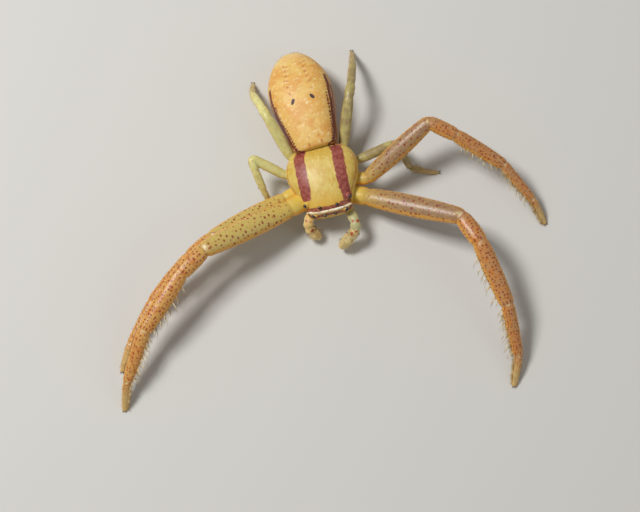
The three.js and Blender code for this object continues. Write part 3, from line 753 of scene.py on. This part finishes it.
# each point near a limb's surface takes its place along and round that limb
PALP_BLOTS = ((2.05, 0.5), (2.1, -0.6), (2.95, 0.55), (3.05, -0.35), (3.5, 0.0))  # part, turn
for name, limb_line in limbs.items():
    line, run = limb_line["line"], limb_line["run"]
    inside = (place > line.min(0) - 0.6) & (place < line.max(0) + 0.6)
    near = np.flatnonzero(inside.all(1))
    gaps = np.linalg.norm(place[near, None] - line[None], axis=-1) / limb_line["radius"].clip(0.1)
    k = gaps.argmin(1)
    away = place[near] - line[k]
    a = np.einsum("ij,ij->i", away, limb_line["side"][k])
    b = np.einsum("ij,ij->i", away, limb_line["up"][k])
    radius = limb_line["radius"][k].clip(0.03)
    ratio = np.hypot(a, b / FLAT) / radius
    on = (gaps.min(1) < 1.12) & (ratio < 1.06) & ((ratio > 0.9) | (run[k] > 0.6))
    rows, k, a, b = near[on], k[on], a[on], b[on]
    long = name.startswith(("leg_1", "leg_2"))
    kind = PALP_REGION if name.startswith("palp") else FRONT_REGION if long else HIND_REGION
    region[rows] = kind
    start = 20.0 * list(limbs).index(name)
    own[rows] = np.stack([start + run[k], a, b], -1)
    fields["part"][rows] = limb_line["part"][k]
    reach = np.hypot(a, b / FLAT).clip(1e-3)
    fields["top"][rows] = b / FLAT / reach
    # marks the animal's left limbs, which the finishes paint in shade
    fields["flank_and_shade"][rows] = float(name.endswith("left"))
    net[rows] = np.stack([start + run[k], 0.35 * np.arctan2(a, b / FLAT), 0 * a], -1)
    fields["front"][rows] = 0
    fields["red"][rows] = fields["brow"][rows] = NONE
    stops = np.arange(1, 5) if kind == PALP_REGION else np.arange(2, 6)
    at = limb_line["part"][k]
    joint = np.abs(at[:, None] - stops).min(1)
    # a pale joint, partly soft skin and partly a painted glint, larger on the top of the limb
    pale_joint_and_glint = joint * 0.9 - 0.02 + 0.12 * (1 - b / FLAT / reach)
    fields["rim"][rows] = np.where(joint < 0.2, pale_joint_and_glint, NONE)
    if kind == PALP_REGION:
        blots = np.full(len(rows), NONE)
        for spot_at, turn in PALP_BLOTS:
            away = np.hypot((at - spot_at) * 0.5, (a / reach - turn) * 0.22)
            blots = np.minimum(blots, away - 0.06)
        fields["rim"][rows] = np.where(b > 0, blots, NONE)


def rounded(mesh):
    """Shades a mesh smoothly."""
    mesh.polygons.foreach_set("use_smooth", np.ones(len(mesh.polygons), bool))


for key, value in fields.items():
    carried = skin.data.attributes.new(key, "FLOAT", "POINT")
    carried.data.foreach_set("value", value.astype(np.float32))
for key, value in (("own", own), ("net", net)):
    carried = skin.data.attributes.new(key, "FLOAT_VECTOR", "POINT")
    carried.data.foreach_set("vector", value.astype(np.float32).ravel())
skin.data.materials.clear()
for finish_made in (shell_skin, belly_skin, front_skin, hind_skin, palp_skin, jaw_skin):
    skin.data.materials.append(finish_made)
corner = np.empty(len(skin.data.loops), np.int32)
skin.data.loops.foreach_get("vertex_index", corner)
starts = np.empty(len(skin.data.polygons), np.int32)
skin.data.polygons.foreach_get("loop_start", starts)
skin.data.polygons.foreach_set("material_index", region[corner[starts]].astype(np.int32))
rounded(skin.data)
skin.data.update()
fleshy = [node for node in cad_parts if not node.startswith("eye_")]
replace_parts(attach(skin, "root"), *fleshy)

# The eyes
# Eight small round lenses, black and wet-looking, in two curved rows. Each is clear horn set in the
# shell. The outer ones are larger and sit on low mounds.
LENS = 1.02  # a lens against the solid that it replaces
eye_glass, tree, shader = finish("eye_lens", rough=0.06, glow=0.0, coat=1.0)
shader.inputs["Coat Roughness"].default_value = 0.03
depth = noise(tree, wire(tree, "ShaderNodeTexCoord", output=3), 9 / MM, 2.0)
tree.links.new(mixed(tree, step(tree, depth, 0.4, 0.7), shade(24, 14, 14), shade(44, 26, 30)),
               shader.inputs["Base Color"])
for row, (x, y, z, radius) in EYES.items():
    for side, sign in SIDES.items():
        node = f"eye_{row}_{side}"
        centre = lean(np.array([sign * x, y, z]))
        lens = closed_piece(f"lens_{row}_{side}", ball(centre, radius * LENS))
        rounded(lens.data)
        lens.data.materials.append(eye_glass)
        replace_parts(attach(lens, "root"), node)

# The bristles
# Fine stiff hairs of horn stand in sockets over the whole animal. The inner sides of the long legs'
# last lengths carry two rows of strong pale spines, and a close white fringe runs on to the foot.
HAIR_POINTS = 7  # three at the root, three half way and the tip
HAIR_MIDDLE = 0.62  # thickness half way, against the root's
PATCH = 0.003  # side of a hair's patch in the map
ROOT_LEVEL, TIP_LEVEL = 0.03, 0.02  # hairs stay this far above the floor
seed = np.random.default_rng(7)


def hairs(name, root, tip, bend, thick, spot, material):
    """Curved tapering hairs joined in one mesh: triangles of falling size at the root, half way,
    pushed sideways by bend, and a point at the tip. Their map puts each hair on a small patch at
    its spot."""
    count = len(root)
    ahead = tip - root
    ahead = ahead / np.linalg.norm(ahead, axis=1, keepdims=True)
    side = np.cross(ahead, [0.31, 0.17, 0.93])  # any slant serves to set out the triangles
    side /= np.linalg.norm(side, axis=1, keepdims=True)
    up = np.cross(ahead, side)
    angle = np.radians([90, 210, 330])
    star = (np.cos(angle)[None, :, None] * side[:, None]
            + np.sin(angle)[None, :, None] * up[:, None])
    base = root[:, None] + star * thick[:, None, None]
    middle = ((root + tip) / 2 + bend)[:, None] + star * HAIR_MIDDLE * thick[:, None, None]
    points = np.concatenate([base, middle, tip[:, None]], 1)
    first = np.arange(count)[:, None, None] * HAIR_POINTS
    k = np.arange(3)
    n = (k + 1) % 3
    quads = (first + np.stack([k, n, n + 3, k + 3], -1)[None]).reshape(-1, 4)
    tips = (first + np.stack([k + 3, n + 3, np.full(3, 6)], -1)[None]).reshape(-1, 3)
    root_ends = (first + np.array([[2, 1, 0]])[None]).reshape(-1, 3)
    mesh = bpy.data.meshes.new(name)
    mesh.from_pydata(((points.reshape(-1, 3) + SHIFT) * MM).tolist(), [],
                     quads.tolist() + tips.tolist() + root_ends.tolist())
    corner = np.empty(len(mesh.loops), np.int32)
    mesh.loops.foreach_get("vertex_index", corner)
    patch = [[0, 0], [1, 0], [0.5, 0.4], [0.1, 0.6], [0.9, 0.6], [0.5, 0.8], [0.5, 1]]
    uv = spot[corner // HAIR_POINTS] + (np.array(patch) * PATCH)[corner % HAIR_POINTS]
    mesh.uv_layers.new(name="OFBake").data.foreach_set("uv", uv.astype(np.float32).ravel())
    rounded(mesh)
    mesh.materials.append(material)
    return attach(placed(name, mesh), "root")


def hair_finish(name, dark, pale):
    """Horn of two tones that change from patch to patch."""
    made, tree, shader = finish(name, rough=0.4, glow=0.0)
    tone = noise(tree, wire(tree, "ShaderNodeTexCoord", output=3), 5 / MM, 2.0)
    colour = mixed(tree, step(tree, tone, 0.42, 0.6), dark, pale)
    tree.links.new(colour, shader.inputs["Base Color"])
    return made


def limb_hairs(name, part_from, part_to, amount, turn_from, turn_to, length, lay, thick, order):
    """Roots spread over a limb between two parts and two turns round it, one after another in order
    or else at random, and tips that lean towards the foot by lay degrees. Turn 0 is the inner side
    and 90 the top."""
    line = limbs[name]
    share = ((np.arange(amount) + seed.uniform(0.2, 0.8, amount)) / amount if order
             else seed.random(amount))
    part = part_from + (part_to - part_from) * share
    turn = np.radians(seed.uniform(turn_from, turn_to, amount))
    rings = np.arange(CAP_RINGS, len(line["part"]) - CAP_RINGS)
    row = np.interp(part, line["part"][rings], rings)
    k = np.minimum(row.astype(int), rings[-1] - 1)
    ahead = line["line"][k + 1] - line["line"][k]
    ahead /= np.linalg.norm(ahead, axis=1, keepdims=True)
    inner = line["side"][k] * SIDES[name.split("_")[-1]]
    out = np.cos(turn)[:, None] * inner + np.sin(turn)[:, None] * line["up"][k]
    skinned = np.cos(turn)[:, None] * inner + FLAT * np.sin(turn)[:, None] * line["up"][k]
    root = line["line"][k] + skinned * line["radius"][k, None] * 0.96
    tilt = np.radians(lay + seed.uniform(-8, 8, amount))[:, None]
    sway = seed.normal(0, 0.12, (amount, 3))
    long = length * seed.uniform(0.7, 1.15, amount)
    aim = np.cos(tilt) * out + np.sin(tilt) * ahead + sway
    aim /= np.linalg.norm(aim, axis=1, keepdims=True)
    tip = root + aim * long[:, None]
    root[:, 2] = np.maximum(root[:, 2], ROOT_LEVEL)
    tip[:, 2] = np.maximum(tip[:, 2], TIP_LEVEL)
    bend = 0.1 * long[:, None] * (out - 0.4 * ahead)
    index = list(limbs).index(name)
    around = turn / (2 * np.pi) % 1
    spot = np.stack([(index + 0.02 + 0.9 * part / 6) / 12, 0.02 + 0.9 * around], -1)
    return root, tip, bend, np.full(amount, thick) * seed.uniform(0.8, 1.2, amount), spot


def gather(rows):
    """Many sets of hairs end to end."""
    return [np.concatenate(column) for column in zip(*rows)]


pale_horn = hair_finish("pale_bristle", shade(206, 170, 104), shade(240, 226, 184))
brown_horn = hair_finish("brown_hair", shade(96, 62, 34), shade(160, 116, 66))
# two rows of spines by their turns, and the parts, amount, length, lay and thickness of a row
SPINE_ROWS = ((-34, -14), (4, 24))
SPINES = ((3.15, 3.95, 7, 0.55, 42, 0.026), (4.05, 4.95, 9, 0.52, 44, 0.024))
# finer hairs: tone, parts, amount, turns, length, lay and thickness
HAIRS = dict(
    long_leg=(("soft", 4.1, 5.0, 150, -50, 30, 0.2, 40, 0.011),
              ("soft", 5.0, 5.97, 220, -80, 50, 0.16, 42, 0.011),
              ("soft", 3.0, 4.0, 70, -60, 40, 0.14, 50, 0.009),
              ("soft", 1.2, 5.9, 420, 0, 180, 0.08, 64, 0.007),
              ("dark", 1.2, 5.9, 260, 0, 360, 0.11, 58, 0.006)),
    short_leg=(("dark", 1.1, 5.0, 150, 0, 360, 0.1, 58, 0.006),
               ("soft", 4.2, 5.95, 90, 0, 360, 0.12, 50, 0.007)),
    palp=(("dark", 3.0, 4.9, 90, 0, 360, 0.16, 45, 0.008),
          ("soft", 3.6, 4.95, 120, 0, 360, 0.14, 40, 0.008)),
)
strong, fine = [], dict(soft=[], dark=[])
for name in limbs:
    kind = "palp" if name.startswith("palp") else "long_leg" if int(name[4]) < 3 else "short_leg"
    if kind == "long_leg":
        size = 1.0 if name[4] == "1" else 0.85
        for turns in SPINE_ROWS:
            for start, end, amount, length, lay, thick in SPINES:
                strong.append(limb_hairs(
                    name, start, end, amount, *turns, length * size, lay, thick, True))
    for tone, *row in HAIRS[kind]:
        fine[tone].append(limb_hairs(name, *row, False))
hairs("spines", *gather(strong), pale_horn)
hairs("fringe", *gather(fine["soft"]), pale_horn)

# hairs of the bag, slanting back over it
amount = 400
rows = seed.integers(3, BELLY_RINGS - 5, amount)
cols = seed.integers(0, BELLY_SIDES, amount)
root = belly_rings[rows, cols]
middle = np.stack([0 * root[:, 0], root[:, 1], np.full(amount, 1.5)], -1)
out = (root - middle) / np.linalg.norm(root - middle, axis=1, keepdims=True)
tip = root + (0.55 * out + [0, 0.8, 0] + seed.normal(0, 0.12, (amount, 3))) * 0.08
spot = np.stack([0.85 + 0.12 * rows / BELLY_RINGS, 0.02 + 0.9 * cols / BELLY_SIDES], -1)
fine["dark"].append((lean(swing(root)), lean(swing(tip)), np.zeros((amount, 3)),
                     np.full(amount, 0.004), spot))
hairs("fine_hairs", *gather(fine["dark"]), brown_horn)

# The claws
# Two short curved claws of dark horn end each foot. They are set side by side in its tip, spread a
# little, and hook down to just above the floor.
CLAW = dict(aside=0.045, ahead=0.06, length=0.13, spread=0.03, arch=0.035, thick=0.026)
CLAW_ROOT, CLAW_TIP = 0.05, 0.03  # least height of a claw's root, and height of its tip
claw_rows = []
for name in STANCE:
    line = limbs[name]
    last = -CAP_RINGS - 1
    foot, side = line["line"][last], line["side"][last]
    ahead = line["line"][-1] - line["line"][-20]
    ahead = ahead / np.linalg.norm(ahead)
    for apart in (-1, 1):
        root = foot + side * CLAW["aside"] * apart + ahead * CLAW["ahead"]
        tip = root + ahead * CLAW["length"] + side * CLAW["spread"] * apart
        root[2], tip[2] = max(root[2], CLAW_ROOT), CLAW_TIP
        claw_rows.append((root, tip, np.array([0, 0, CLAW["arch"]]), CLAW["thick"]))
root, tip, bend, thick = (np.array(column) for column in zip(*claw_rows))
claw_horn = hair_finish("claw_horn", shade(40, 24, 20), shade(66, 40, 30))
spot = np.stack([np.linspace(0.02, 0.95, len(root)), np.full(len(root), 0.96)], -1)
hairs("claws", root, tip, bend, thick, spot, claw_horn)

# The table, the lamps and the view
# A plain pale table top under soft lamps, seen from steeply above the face. None of it belongs to
# the animal.
plate = bpy.data.meshes.new("table_top")
half = 150 * MM
corners = [(-half, -half, 0), (half, -half, 0), (half, half, 0), (-half, half, 0)]
plate.from_pydata(corners, [], [(0, 1, 2, 3)])
table_top = placed("table_top", plate)
paper, _, shader = finish("pale_table", rough=0.8, glow=0.0)
shader.inputs["Base Color"].default_value = shade(214, 212, 206)
plate.materials.append(paper)


def lamp(name, place, size, power):
    """A square soft lamp, in millimetres, that faces the middle of the animal."""
    light = bpy.data.lights.new(name, "AREA")
    light.size, light.energy = size * MM, power
    obj = placed(name, light)
    obj.location = Vector(place) * MM
    obj.rotation_euler = (-Vector(place)).to_track_quat("-Z", "Y").to_euler()


lamp("window", (-55, 38, 110), 34, 0.125)
lamp("filler", (90, -60, 90), 90, 0.015)
world = bpy.data.worlds.new("room")
world.use_nodes = True
world.node_tree.nodes["Background"].inputs[0].default_value = (1.0, 1.0, 1.0, 1.0)
world.node_tree.nodes["Background"].inputs[1].default_value = 0.24
bpy.context.scene.world = world
bpy.context.scene.view_settings.view_transform = "Standard"

AZIMUTH, ELEVATION = np.radians(-11), np.radians(75)
DISTANCE = 158.73  # at which a millimetre shows as 22.4 pixels
target = np.array([-0.86, -3.837, 1.3]) + SHIFT
level = np.cos(ELEVATION)
back = np.array([np.sin(AZIMUTH) * level, -np.cos(AZIMUTH) * level, np.sin(ELEVATION)])
camera = placed("view", bpy.data.cameras.new("view"))
camera.data.lens, camera.data.sensor_width = 200, 36
camera.data.clip_start = 10 * MM
camera.location = Vector((target + back * DISTANCE) * MM)
camera.rotation_euler = Vector(-back).to_track_quat("-Z", "Y").to_euler()
bpy.context.scene.camera = camera
